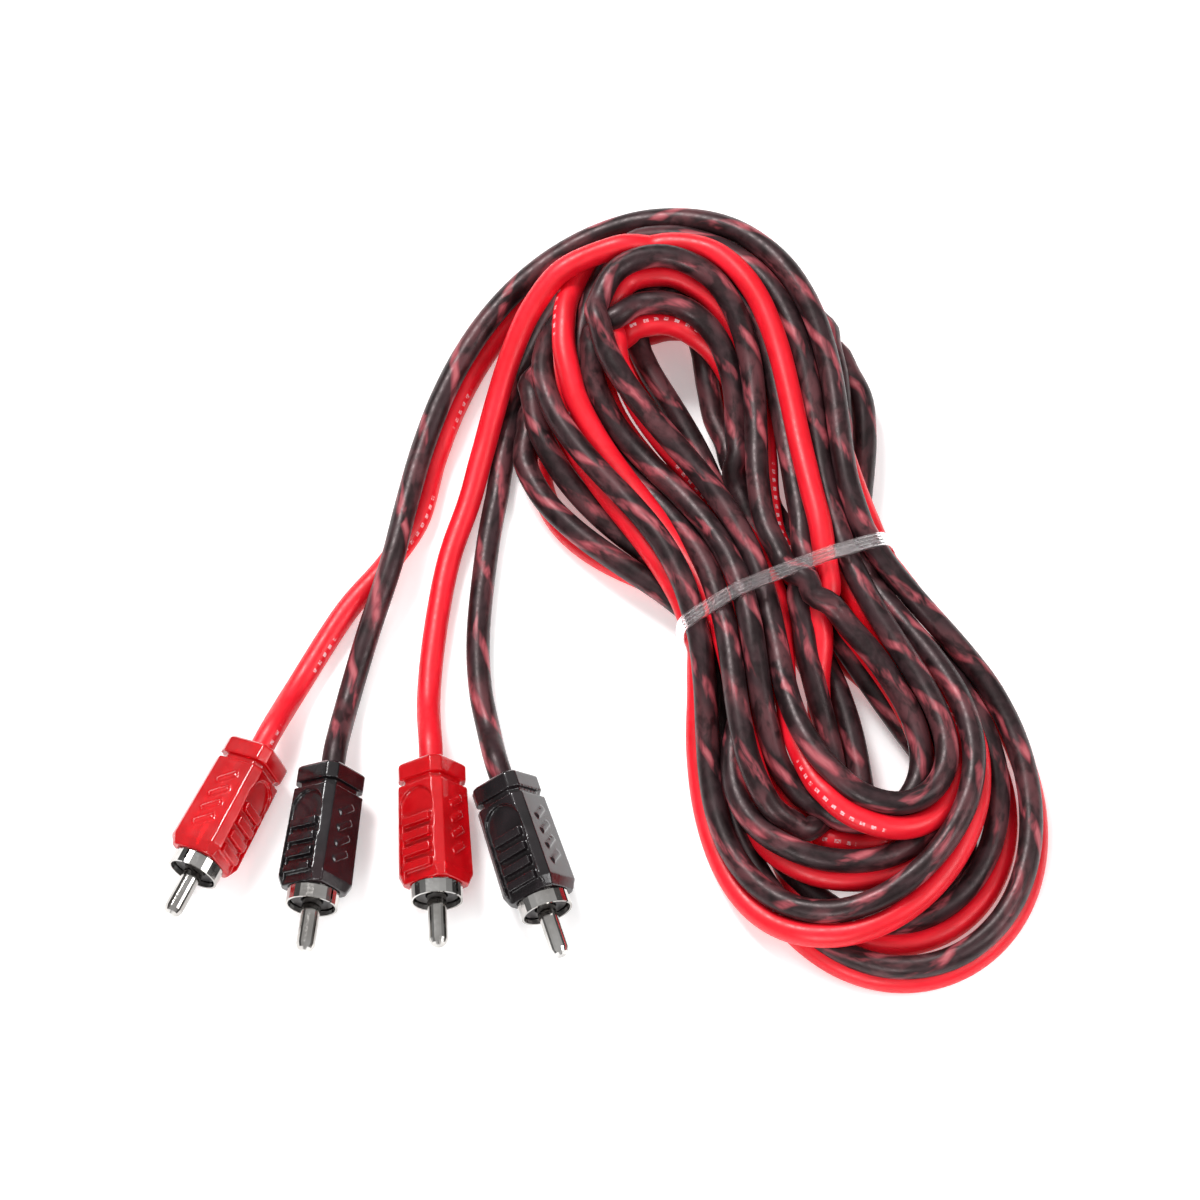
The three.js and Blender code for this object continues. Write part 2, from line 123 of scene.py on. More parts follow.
# The wound pair's centre, clockwise, as rows of (u, v, height, roll). A roll of 0 degrees has the
# black lead over the red one, and a positive roll brings the black lead to the inside of the turn.
WOUND_A = [
    # over the top, from plugs 1 and 2 to the right of the waist
    (-73, 7.2, 12, 4), (-67.4, 14, 11.9, 4), (-61.3, 19, 11.7, 4), (-53, 22.4, 11.3, 0),
    (-44, 23.8, 10.9, -8), (-34, 23, 10.6, -16), (-22, 19.2, 10.6, -28), (-10, 15.2, 11.2, -24),
    # outermost turn
    (0, 14.2, 12, -10), (13, 19, 8, 5), (24.5, 23.2, 5, 10), (37, 24, 4.3, 12),
    (48, 22.7, 4.3, 15), (58, 18.4, 4.3, 12), (66.4, 10.4, 4.3, 14), (70.6, 0.5, 4.3, 22),
    (69.6, -10.6, 4.3, 28), (64, -18.2, 4.3, 22), (55, -22.4, 4.3, 10), (42, -23.4, 4.3, 5),
    (30, -22.8, 4.3, 0), (16, -20.6, 4.3, 0), (0, -16.8, 4.3, 0), (-12, -21.8, 4.3, 8),
    (-22, -26.6, 4.3, 14), (-33, -29.2, 4.4, 16), (-43, -27.6, 4.6, 14), (-51, -22.6, 4.6, 0),
    (-56, -14.4, 4.6, -10), (-57, -6, 4.6, -20), (-56, 5, 4.5, -20), (-52, 16, 4.3, -10),
    (-43, 23.6, 4.3, 5), (-34, 26, 4.3, 15), (-23, 23.8, 4.3, 18), (-11, 19.6, 4.3, 15),
    # second turn
    (0, 16.8, 4.3, 5), (12, 17, 5, 8), (26, 19.6, 5.5, 10), (39, 20, 6, 12),
    (49.5, 17.2, 6.4, 18), (57.4, 11, 6.6, 25), (62, 3.4, 6.6, 35), (62.8, -5, 6.6, 40),
    (60, -13, 6.4, 35), (53.5, -18.4, 6, 20), (44, -20.2, 6, 5), (31, -19.6, 5.5, 0),
    (17, -18, 5, 0), (0, -12.6, 4.3, 0), (-12, -17, 4.6, 8), (-24, -22.6, 5.2, 14),
    (-36, -25.4, 6, 16), (-46, -24.4, 7, 10), (-54, -19.8, 7.6, 0), (-58.5, -12, 8, -10),
    (-60, -2, 8, -20), (-58, 8, 7.6, -20), (-52, 17.5, 7, -10), (-43, 24, 7.6, 0),
    (-33, 24.4, 8, 0), (-22, 21, 7.4, 0), (-11, 16.5, 5.6, 0),
    # third turn, which climbs and crosses to the outside at the near end
    (0, 12.6, 4.5, 0), (12, 14.5, 7.5, 5), (24, 18, 10.4, 8), (34, 18.4, 11.8, 14),
    (43, 14.4, 12, 25), (50.5, 7.2, 12, 32), (56, -1, 11.8, 40), (59.4, -10, 11, 44),
    (59.2, -18, 9.6, 38), (54.6, -24, 8, 24), (46.5, -26.4, 6, 18), (37, -26.4, 4.8, 6),
    (26, -24.4, 4.8, 0), (13, -20, 7.2, 0), (0, -14.4, 12.2, 0), (-13, -13.6, 12, 8),
    (-26, -17.6, 10.6, 14), (-37, -21, 9.8, 14), (-47, -22.4, 9.4, 10), (-55.8, -19, 9, 0),
    (-61, -10, 8.6, -10), (-62, 0, 8, -20), (-59.5, 10, 7, -20), (-52, 19, 5, -10),
    (-42, 22, 4.6, 0), (-31, 19.4, 4.4, 0), (-20, 15, 4.3, 0), (-10, 10.8, 4.3, 0),
    # fourth turn
    (0, 8.4, 4.3, 0), (13, 11.2, 5.4, 5), (25, 14.4, 6.6, 10), (36, 15.2, 7.6, 15),
    (45, 11.6, 8.4, 25), (50.4, 5, 9, 35), (52.2, -3, 9.4, 42), (51, -10.8, 9.4, 42),
    (46.5, -17, 9.2, 35), (38.5, -20.6, 9, 20), (28, -21, 8.6, 10), (15, -16.4, 7, 0),
    (0, -6.6, 4.5, 0), (-11, -3.4, 4.4, 0), (-21, -1.2, 4.4, 25), (-30, 0.6, 4.4, 75),
    (-38, 0.8, 4.4, 85), (-45, -1, 4.4, 75), (-49.6, -5, 4.4, 40), (-55.4, -6, 4.4, 10),
    (-60, -2.4, 4.4, 10), (-60.8, 4, 4.4, 10), (-57.2, 9, 4.4, 10), (-51, 9.8, 4.4, 5),
    (-46, 6.8, 4.4, 0), (-38, 5.8, 4.4, 0), (-28, 4.4, 4.4, 0), (-14, 3.6, 4.4, 0),
    (0, 4.2, 4.3, 0),
]
# The fold in the middle of the cable, inside the lower loop, as rows of (u, v, height).
FOLD = [
    (12, 6.4, 4.3), (22, 8.2, 4.3), (32, 10.8, 4.3), (41, 12.4, 4.3), (48.4, 11, 4.3),
    (53.4, 4.6, 4.3), (52, -3, 4.3), (45.4, -6, 4.3), (38, -2.6, 4.3), (31, 1.6, 4.3),
    (22, 2.2, 4.3), (12, 0.4, 4.3),
]
# The other half of the cable, with rows like the first half's.
WOUND_B = [
    # over the top, from plugs 3 and 4 to the right of the waist
    (-67.4, 6, 14.8, 148), (-63.6, 12.4, 15, 150), (-56, 16.4, 15, 150),
    (-47, 17.2, 15, 150), (-37, 14.8, 15, 150), (-25, 10.8, 15, 150), (-12, 6.8, 15, 150),
    # first turn, which drops inside the lower loop
    (0, 3.2, 14.6, 140), (7, 0.4, 13, 60), (14, -3, 10, 0), (21, -5.6, 7.6, 0),
    (28, -6.2, 6.4, 0), (34, -6.4, 6, 0), (39, -8.6, 6, 0), (41.6, -12.6, 6.2, 0),
    (40.8, -17.4, 6.8, 0), (36.6, -20.4, 7.6, 0), (30.6, -20.6, 8.6, 0), (23, -18.4, 9.4, 0),
    (13, -14.6, 10, 5), (0, -10.2, 12.3, 45),
    (-12.6, -9.6, 12.4, 80), (-26.5, -13.4, 12.2, 95), (-37, -16.8, 12, 95), (-45.1, -18.6, 12, 90),
    (-53, -18, 12, 70), (-60, -13, 11.6, 30), (-65, -4, 10, 0), (-66, 5, 8.6, 0),
    (-62, 14, 8.4, 0), (-54, 20, 8.8, -10), (-45, 21, 9.6, -15), (-35.5, 18.6, 10.6, -20),
    (-26, 15.6, 11.4, -20), (-12, 11.6, 12, -15),
    # second turn, with the inner loop on top
    (0, 9.8, 12.4, 0), (10, 9.6, 12.6, 20), (18.6, 11, 13, 35), (26.2, 13.4, 13.2, 45),
    (34.1, 14.8, 13.2, 50), (41, 13.8, 13.2, 50), (45.8, 9.8, 13.2, 50), (47.2, 4, 13.2, 50),
    (45, -3.2, 13.2, 50), (40.4, -9, 13.2, 48), (34.6, -12.6, 13, 45), (27.6, -13.6, 12.8, 35),
    (19, -11.4, 12.6, 20), (9, -6.4, 12.6, 10), (0, -3, 12.8, 10), (-11, -2.6, 13, 15),
    (-23, -4.8, 13, 20), (-33, -7.9, 13, 20), (-42, -9.6, 13, 15), (-50.2, -10, 13.2, 5),
    (-56.6, -8.6, 13.4, -10), (-61.6, -5, 13.4, -30), (-63.2, 0.4, 13.2, -35),
    (-61.6, 6, 13, -35), (-58, 10.4, 13, -35), (-52, 13, 13, -35), (-45.5, 13.8, 12.8, -30),
    (-35.5, 10.6, 12.4, -20), (-25.5, 6.4, 12.2, -10), (-11, 2.2, 12.2, 0),
    # third turn
    (0, 1.4, 12, 0), (10.5, 4.4, 11.4, 0), (18.6, 6.3, 10.4, 0), (25, 8.8, 9.4, 10),
    (32, 10.4, 8.6, 20), (39, 9, 8.2, 30), (44.6, 3.6, 8.4, 35), (45, -4, 8.8, 35),
    (42, -11, 9, 30), (35.5, -16, 9, 20), (26.5, -16.8, 9, 10), (13, -11, 10.6, 0),
    (0, -6.4, 12.2, -10), (-10.3, -6, 12.4, -25), (-20.7, -8, 12, -30), (-30.5, -11.2, 11.6, -30),
    (-40.3, -13.8, 11.4, -30), (-48.4, -14.4, 11, -30), (-54, -11, 10.6, -35),
    (-56.4, -4.6, 10.4, -40), (-56, 1.4, 10.2, -40), (-53, 7, 10, -38), (-48, 9.8, 9.8, -35),
    (-42, 10.6, 9.4, -30), (-34.5, 8, 8.6, -15), (-25, 4.4, 7, 0), (-13, 1.6, 5, 0),
    (0, 0, 4.4, 0),
]


def to_floor(u, v):
    """From the hank's frame to the floor plan."""
    return HANK_AT[0] + u * HANK_COS - v * HANK_SIN, HANK_AT[1] + u * HANK_SIN + v * HANK_COS


def to_hank(points):
    """From the floor plan to the hank's frame."""
    dx, dy = points[:, 0] - HANK_AT[0], points[:, 1] - HANK_AT[1]
    return dx * HANK_COS + dy * HANK_SIN, -dx * HANK_SIN + dy * HANK_COS


CURVE_SAMPLES = 24  # between two given points, before they are spaced evenly


def catmull_rom(points, step):
    """Points every `step` along a centripetal Catmull-Rom curve through `points`."""
    p = np.array(points, float)
    p = np.vstack([2 * p[0] - p[1], p, 2 * p[-1] - p[-2]])
    dense = []
    for k in range(1, len(p) - 2):
        a, b, c, d = p[k - 1 : k + 3]
        t0 = 0.0
        t1 = t0 + np.linalg.norm(b - a) ** 0.5
        t2 = t1 + np.linalg.norm(c - b) ** 0.5
        t3 = t2 + np.linalg.norm(d - c) ** 0.5
        t = np.linspace(t1, t2, CURVE_SAMPLES, endpoint=False)[:, None]
        a1 = (t1 - t) / (t1 - t0) * a + (t - t0) / (t1 - t0) * b
        a2 = (t2 - t) / (t2 - t1) * b + (t - t1) / (t2 - t1) * c
        a3 = (t3 - t) / (t3 - t2) * c + (t - t2) / (t3 - t2) * d
        b1 = (t2 - t) / (t2 - t0) * a1 + (t - t0) / (t2 - t0) * a2
        b2 = (t3 - t) / (t3 - t1) * a2 + (t - t1) / (t3 - t1) * a3
        dense.append((t2 - t) / (t2 - t1) * b1 + (t - t1) / (t2 - t1) * b2)
    dense = np.vstack(dense + [p[-2][None]])
    return resample(dense, step)


def arc_length(points):
    return np.concatenate([[0], np.cumsum(np.linalg.norm(np.diff(points, axis=0), axis=1))])


def resample(points, step):
    """The same line with its points evenly spaced, about `step` apart."""
    s = arc_length(points)
    count = max(int(round(s[-1] / step)), 2)
    at = np.linspace(0, s[-1], count + 1)
    return np.stack([np.interp(at, s, points[:, k]) for k in range(3)], axis=1)


def plug_axis(name):
    """A plug's rear face centre and its axis towards the pin, on the floor plan."""
    low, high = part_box(name + "_core_wire")
    height = (low.z + high.z) / 2 / MM
    heading = math.radians(PLUGS[name]["heading"])
    at = PLUGS[name]["at"]
    return np.array([*at, height]), np.array([math.cos(heading), math.sin(heading), 0.0])


def free_route(name):
    """Points of a lead's free end, from inside its plug to the hank."""
    rear, axis = plug_axis(name)
    straight = [rear + axis * x for x in (LEAD_INSET, 0.0, -LEAD)]
    return [tuple(p) for p in straight] + ROUTES[name]


# ---------- The wound pair ----------

SPREAD = 1.005  # how much wider the turns are drawn than they settle


def wound_pair():
    """Centre line of the bonded pair from end A to end B, its roll, and which way is inside."""
    def rows(table):
        return [(*to_floor(u * SPREAD, v * SPREAD), z, roll) for u, v, z, roll in table]

    part_a, part_b = rows(WOUND_A), rows(WOUND_B)
    fold = [(*to_floor(u, v), z, 0.0) for u, v, z in FOLD]
    table = np.array(part_a + fold + part_b[::-1])
    half = len(part_a) + len(fold) // 2
    side = np.where(np.arange(len(table)) < half, 1.0, -1.0)
    knots = arc_length(table[:, :3])
    centre = catmull_rom(table[:, :3], STEP)
    at = arc_length(centre) * knots[-1] / arc_length(centre)[-1]
    roll = np.radians(np.interp(at, knots, table[:, 3]))
    side = np.where(np.interp(at, knots, side) > 0, 1.0, -1.0)
    return centre, roll, side


def split_pair(centre, roll, side):
    """The red and the black lead's centre lines, one on each side of the pair's centre."""
    tangent = np.gradient(centre, axis=0)
    inward = np.stack([tangent[:, 1], -tangent[:, 0], 0 * tangent[:, 0]], axis=1)
    inward *= (side / np.linalg.norm(inward, axis=1))[:, None]
    up = np.array([0.0, 0.0, 1.0])
    offset = np.cos(roll)[:, None] * up + np.sin(roll)[:, None] * inward
    return centre - offset * PITCH / 2, centre + offset * PITCH / 2


RELAX_STEPS = 640
LAST_PHASE = 500  # from this step on, contact counts for more
SHAPE_PASSES = 2  # for lengths and bond, in each step
CONTACT_PASSES, LAST_CONTACT_PASSES = 2, 5
NEIGHBOUR_STEPS = 14  # between two searches for leads that may touch
NEAR = 5.6  # pairs of points closer than this are watched for contact
OWN_REACH, OTHER_REACH = 5, 3  # points this near along the same or the other lead aren't watched
TENSION = 0.994  # rest length of the leads over their drawn length, which takes the slack out
MEMORY = np.array([0.02, 0.02, 0.004])  # pull towards the drawn route, fading out
SINK = 0.008  # drop of the leads in each step
FAIRING = ((1, 0.05), (3, 0.02))  # strides of the smoothing and their strengths
BEND_REACH = 3  # points on each side that a bend is judged by
TIGHTEST = 9.0  # radius of the tightest bend that is left alone
# shares of an error that one pass puts right
BEND_SHARE, LENGTH_SHARE, BOND_SHARE, CONTACT_SHARE, TIE_SHARE = 0.6, 0.35, 0.4, 0.5, 0.4
CROWDING = 0.35  # how much each contact damps a point's move
LOOSE_POINTS = 20  # points of each free end, next to the hank, that may move
WAIST_HALF = 17.6  # room for the leads' centres inside the tie, across
WAIST_MID, WAIST_RISE = 9.6, 6.8  # the middle of that room, and its reach up and down
WAIST_POWER = 2.5  # of the superellipse that bounds the room
TIE_HALF_WIDTH = 3.5
TIE_ROOM = 1.15  # under the leads, for the band of the tie
FLOOR_GAP = 0.05  # under the leads elsewhere


def joined_leads():
    """Both leads from plug to plug, and the run of each that is bonded to the other."""
    centre, roll, side = wound_pair()
    leads = []
    bonded = []
    for line, (first, last) in zip(split_pair(centre, roll, side), CORD_ENDS.values()):
        head = catmull_rom(free_route(first) + [tuple(line[0])], STEP)[:-1]
        tail = catmull_rom(free_route(last) + [tuple(line[-1])], STEP)[:-1][::-1]
        leads.append(np.vstack([head, line, tail]))
        bonded.append((len(head), len(head) + len(line)))
    return leads, bonded


def close_pairs(points, lead, index):
    """Pairs of points that may touch: on different leads or far apart along one."""
    p = points.astype(np.float32)
    square = (p**2).sum(1)
    gap = square[:, None] + square[None, :] - 2 * p @ p.T
    i, j = np.nonzero(np.triu(gap < NEAR**2, 1))
    reach = np.where(lead[i] == lead[j], OWN_REACH, OTHER_REACH)
    keep = np.abs(index[i] - index[j]) >= reach
    return i[keep], j[keep]


def fair(line, stride, strength):
    """Moves a line's points towards an even change of curvature."""
    k = stride
    bend = line[: -4 * k] - 4 * line[k : -3 * k] + 6 * line[2 * k : -2 * k]
    bend += line[4 * k :] - 4 * line[3 * k : -k]
    line[2 * k : -2 * k] -= strength * bend


def limit_bends(line):
    """Flattens the places where a line bends more tightly than a lead may."""
    k = BEND_REACH
    middle = line[k:-k]
    lift = middle - (line[: -2 * k] + line[2 * k :]) / 2
    size = np.linalg.norm(lift, axis=1)
    most = (k * STEP) ** 2 / (2 * TIGHTEST)
    push = lift * (BEND_SHARE * np.clip(1 - most / np.maximum(size, 1e-6), 0, 1))[:, None]
    line[k:-k] -= push / 2
    line[: -2 * k] += push / 4
    line[2 * k :] += push / 4


def restore_shape(points, slices, lengths, bond):
    """Moves points towards the leads' lengths and towards the bond between them."""
    move = np.zeros_like(points)
    for part, natural in zip(slices, lengths):
        d = np.diff(points[part], axis=0)
        size = np.linalg.norm(d, axis=1)
        push = d * (LENGTH_SHARE * (size - natural) / size)[:, None]
        move[part][:-1] += push
        move[part][1:] -= push
    d = points[bond[1]] - points[bond[0]]
    size = np.linalg.norm(d, axis=1)
    push = d * (BOND_SHARE * (size - PITCH) / size)[:, None]
    move[bond[0]] += push
    move[bond[1]] -= push
    points += move


def push_apart(points, i, j):
    """Moves the watched pairs that press into each other apart."""
    d = points[j] - points[i]
    size = np.linalg.norm(d, axis=1)
    hit = size < PITCH
    a, b, d, size = i[hit], j[hit], d[hit], size[hit]
    push = d * (CONTACT_SHARE * (PITCH - size) / size)[:, None]
    move = np.zeros_like(points)
    count = np.ones(len(points))
    np.add.at(move, a, -push)
    np.add.at(move, b, push)
    np.add.at(count, a, CROWDING)
    np.add.at(count, b, CROWDING)
    points += move / count[:, None]


def hold_in(points):
    """Keeps the leads inside the tie at the waist, and above the floor everywhere."""
    u, v = to_hank(points)
    w = points[:, 2] - WAIST_MID
    tied = np.abs(u) < TIE_HALF_WIDTH
    fill = (np.abs(v) / WAIST_HALF) ** WAIST_POWER + (np.abs(w) / WAIST_RISE) ** WAIST_POWER
    fill = np.where(tied & (np.abs(v) < 2 * WAIST_HALF), np.maximum(fill, 1), 1)
    shrink = TIE_SHARE * (fill ** (-1 / WAIST_POWER) - 1)
    points[:, 0] += -HANK_SIN * v * shrink
    points[:, 1] += HANK_COS * v * shrink
    points[:, 2] += w * shrink
    lowest = LEAD / 2 + np.where(tied, TIE_ROOM, FLOOR_GAP)
    points[:, 2] = np.maximum(points[:, 2], lowest)


def relax(leads, bonded):
    """Settles the two leads against each other, the tie and the floor."""
    n = len(leads[0])
    points = np.vstack(leads)
    lead = np.repeat([0, 1], [n, len(leads[1])])
    shift = bonded[0][0] - bonded[1][0]
    index = np.concatenate([np.arange(n), np.arange(len(leads[1])) + shift])
    slices = [slice(0, n), slice(n, len(points))]
    bond = [np.arange(*bonded[0]), np.arange(*bonded[1]) + n]
    held = np.ones(len(points), bool)
    for part, (low, high) in zip(slices, bonded):
        held[part.start + low - LOOSE_POINTS : part.start + high + LOOSE_POINTS] = False
    rest = points.copy()
    lengths = [np.linalg.norm(np.diff(line, axis=0), axis=1) * TENSION for line in leads]
    for step in range(RELAX_STEPS):
        if step % NEIGHBOUR_STEPS == 0:
            i, j = close_pairs(points, lead, index)
        points += MEMORY * (1 - step / RELAX_STEPS) * (rest - points)
        points[:, 2] -= SINK
        for part in slices:
            for stride, strength in FAIRING:
                fair(points[part], stride, strength)
            limit_bends(points[part])
        for _ in range(SHAPE_PASSES):
            restore_shape(points, slices, lengths, bond)
            points[held] = rest[held]
        for _ in range(CONTACT_PASSES if step < LAST_PHASE else LAST_CONTACT_PASSES):
            push_apart(points, i, j)
            points[held] = rest[held]
        hold_in(points)
        points[held] = rest[held]
    return [points[part] for part in slices]


# ---------- Looks of the leads ----------

LEAD_SIDES = 20
RING_STEP = 1.3  # between the rings of a lead's tube
SLOTS = {"red": "red_jacket", "black": "black_jacket"}
UP = np.array([0.0, 0.0, 1.0])
TUBE_SHARP = math.radians(50)  # edges sharper than this stay sharp


def to_row(points):
    """Floor-plan millimetres to metres in the row frame."""
    return (np.asarray(points, float) - MIDDLE) * MM


def transport_frames(points):
    """A normal and a binormal at each point, turned as little as possible along the line."""
    tangents = np.gradient(points, axis=0)
    tangents /= np.linalg.norm(tangents, axis=1)[:, None]
    normals = np.zeros_like(tangents)
    normal = UP
    for k, tangent in enumerate(tangents):
        normal = normal - tangent * (normal @ tangent)
        normal /= np.linalg.norm(normal)
        normals[k] = normal
    return normals, np.cross(tangents, normals)


def link(name, mesh, slot):
    """Adds a mesh to the scene as a piece on the root body, with its slot's material."""
    piece = bpy.data.objects.new(name, mesh)
    bpy.context.scene.collection.objects.link(piece)
    mesh.materials.append(MATERIALS[slot])
    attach(piece, "root")
    return piece


def grid_mesh(name, rings, closed_along=False):
    """A mesh from rings of points, with the distances along and around stored on its corners."""
    rings = np.asarray(rings, float)
    count, sides = rings.shape[:2]
    mesh = bpy.data.meshes.new(name)
    faces = []
    corners = []
    last = count if closed_along else count - 1
    step = np.linalg.norm(np.diff(rings.mean(axis=1), axis=0), axis=1)
    along = np.concatenate([[0], np.cumsum(step)])
    along = np.append(along, along[-1] + step[-1])
    for a in range(last):
        b = (a + 1) % count
        for k in range(sides):
            n = (k + 1) % sides
            faces.append((a * sides + k, a * sides + n, b * sides + n, b * sides + k))
            left, right = k / sides, (k + 1) / sides
            corners += [(left, along[a]), (right, along[a]), (right, along[a + 1]),
                        (left, along[a + 1])]
    if not closed_along:
        for ring, turn in ((0, -1), (count - 1, 1)):
            faces.append(tuple(range(ring * sides, (ring + 1) * sides))[::turn])
            corners += [(0.5, along[ring])] * sides
    mesh.from_pydata(rings.reshape(-1, 3).tolist(), [], faces)
    layer = mesh.uv_layers.new(name="lay")
    layer.data.foreach_set("uv", np.array(corners, float).ravel())
    mesh.polygons.foreach_set("use_smooth", [True] * len(mesh.polygons))
    mesh.set_sharp_from_angle(angle=TUBE_SHARP)
    mesh.validate()
    return mesh


def tube_rings(points, radius):
    """Rings of points round a line."""
    normals, binormals = transport_frames(points)
    angles = np.linspace(0, 2 * math.pi, LEAD_SIDES, endpoint=False)
    circle = (
        np.cos(angles)[None, :, None] * normals[:, None]
        + np.sin(angles)[None, :, None] * binormals[:, None]
    )
    return points[:, None] + radius * circle


# ---------- Materials ----------


class Shader:
    """Builds one material's nodes."""

    def __init__(self, name):
        self.material = bpy.data.materials.new(name)
        self.material.use_nodes = True
        self.nodes = self.material.node_tree.nodes
        self.links = self.material.node_tree.links
        self.surface = self.nodes["Principled BSDF"]

    def put(self, socket, value):
        if isinstance(value, bpy.types.NodeSocket):
            self.links.new(value, socket)
        else:
            socket.default_value = value

    def set(self, **values):
        for key, value in values.items():
            self.put(self.surface.inputs[key.replace("_", " ")], value)

    def math(self, operation, a, b=0.0, c=0.0):
        node = self.nodes.new("ShaderNodeMath")
        node.operation = operation
        for socket, value in zip(node.inputs, (a, b, c)):
            self.put(socket, value)
        return node.outputs[0]

    def scaled(self, vector, x, y, z):
        node = self.nodes.new("ShaderNodeVectorMath")
        node.operation = "MULTIPLY"
        self.put(node.inputs[0], vector)
        node.inputs[1].default_value = (x, y, z)
        return node.outputs[0]

    def parts(self, vector):
        node = self.nodes.new("ShaderNodeSeparateXYZ")
        self.put(node.inputs[0], vector)
        return node.outputs

    def whole(self, x, y, z):
        node = self.nodes.new("ShaderNodeCombineXYZ")
        for socket, value in zip(node.inputs, (x, y, z)):
            self.put(socket, value)
        return node.outputs[0]

    def place(self):
        return self.nodes.new("ShaderNodeTexCoord").outputs["Object"]

    def lay(self):
        node = self.nodes.new("ShaderNodeUVMap")
        node.uv_map = "lay"
        return node.outputs[0]

    def noise(self, vector, scale, detail=3.0, roughness=0.5, distortion=0.0):
        node = self.nodes.new("ShaderNodeTexNoise")
        self.put(node.inputs["Vector"], vector)
        node.inputs["Scale"].default_value = scale
        node.inputs["Detail"].default_value = detail
        node.inputs["Roughness"].default_value = roughness
        node.inputs["Distortion"].default_value = distortion
        return node.outputs["Fac"]

    def span(self, value, low, high, to_low=0.0, to_high=1.0):
        node = self.nodes.new("ShaderNodeMapRange")
        node.interpolation_type = "SMOOTHSTEP"
        for socket, number in zip(node.inputs, (value, low, high, to_low, to_high)):
            self.put(socket, number)
        return node.outputs[0]

    def mix(self, factor, a, b):
        node = self.nodes.new("ShaderNodeMix")
        node.data_type = "RGBA"
        self.put(node.inputs["Factor"], factor)
        self.put(node.inputs[6], a)
        self.put(node.inputs[7], b)
        return node.outputs[2]

    def bump(self, height, strength, distance, under=None):
        node = self.nodes.new("ShaderNodeBump")
        node.inputs["Strength"].default_value = strength
        node.inputs["Distance"].default_value = distance
        self.put(node.inputs["Height"], height)
        if under is not None:
            self.put(node.inputs["Normal"], under)
        return node.outputs[0]


def colour(red, green, blue):
    """Linear colour from display values of 0 to 255."""
    def linear(value):
        value /= 255
        return value / 12.92 if value <= 0.04045 else ((value + 0.055) / 1.055) ** 2.4

    return (linear(red), linear(green), linear(blue), 1.0)


def twist(shader, pitch, starts, wander):
    """A wave that winds round a lead, from -1 to 1, for its twisted conductors."""
    around, along, _ = shader.parts(shader.lay())
    turn = shader.math("MULTIPLY_ADD", along, 1 / pitch, around)
    drift = shader.noise(shader.whole(0.0, along, 0.0), 45, 3)
    turn = shader.math("MULTIPLY_ADD", drift, wander, turn)
    return shader.math("SINE", shader.math("MULTIPLY", turn, 2 * math.pi * starts))


def brushed_patches(shader, length, seed):
    """Soft blotches drawn out along a lead."""
    around, along, _ = shader.parts(shader.lay())
    angle = shader.math("MULTIPLY", around, 2 * math.pi)
    x = shader.math("MULTIPLY_ADD", shader.math("COSINE", angle), 0.9, seed)
    y = shader.math("MULTIPLY", shader.math("SINE", angle), 0.9)
    spot = shader.whole(x, y, shader.math("MULTIPLY", along, 1 / length))
    return shader.noise(spot, 1.0, 3, 0.55, 0.4)


def jacket_relief(shader, wave):
    """The conductors' twist and a fine grain, as a bump."""
    relief = shader.bump(wave, 0.25, 0.00010)
    return shader.bump(shader.noise(shader.place(), 5200, 3), 0.1, 0.00004, relief)


PRINT_PITCH = 0.0017  # metres from one printed dash to the next
PRINT_SIDE = 0.13  # of a turn round the lead


def red_jacket():
    s = Shader("red_jacket")
    around, along, _ = s.parts(s.lay())
    wave = twist(s, 0.034, 2, 0.5)
    cloud = brushed_patches(s, 0.009, 2.0)
    base = s.mix(s.span(cloud, 0.35, 0.65), colour(216, 14, 32), colour(240, 26, 44))
    base = s.mix(s.span(wave, 0.0, 1.0, 0, 0.3), base, colour(198, 8, 26))
    # printing, as plain dashes along one side
    dash = s.math("FRACT", s.math("MULTIPLY", along, 1 / PRINT_PITCH))
    groups = s.noise(s.whole(0.0, along, 3.0), 48, 0)
    stroke = s.math("MULTIPLY", s.span(dash, 0.3, 0.36), s.span(dash, 0.74, 0.8, 1, 0))
    side = s.math("ABSOLUTE", s.math("SUBTRACT", around, PRINT_SIDE))
    band = s.span(side, 0.02, 0.028, 1, 0)
    worn = s.span(s.noise(s.place(), 2600, 2), 0.38, 0.56, 0.15, 1)
    ink = s.math("MULTIPLY", s.math("MULTIPLY", stroke, band), s.span(groups, 0.52, 0.54, 0, 0.8))
    base = s.mix(s.math("MULTIPLY", ink, worn), base, colour(240, 200, 204))
    relief = jacket_relief(s, wave)
    rough = s.span(s.noise(s.place(), 900, 3), 0.3, 0.7, 0.34, 0.46)
    s.set(Base_Color=base, Roughness=rough, Normal=relief, Specular_IOR_Level=0.4)
    s.set(Subsurface_Weight=0.15, Subsurface_Radius=(0.0016, 0.0002, 0.0002))
    s.set(Subsurface_Scale=1.0)
    return s.material


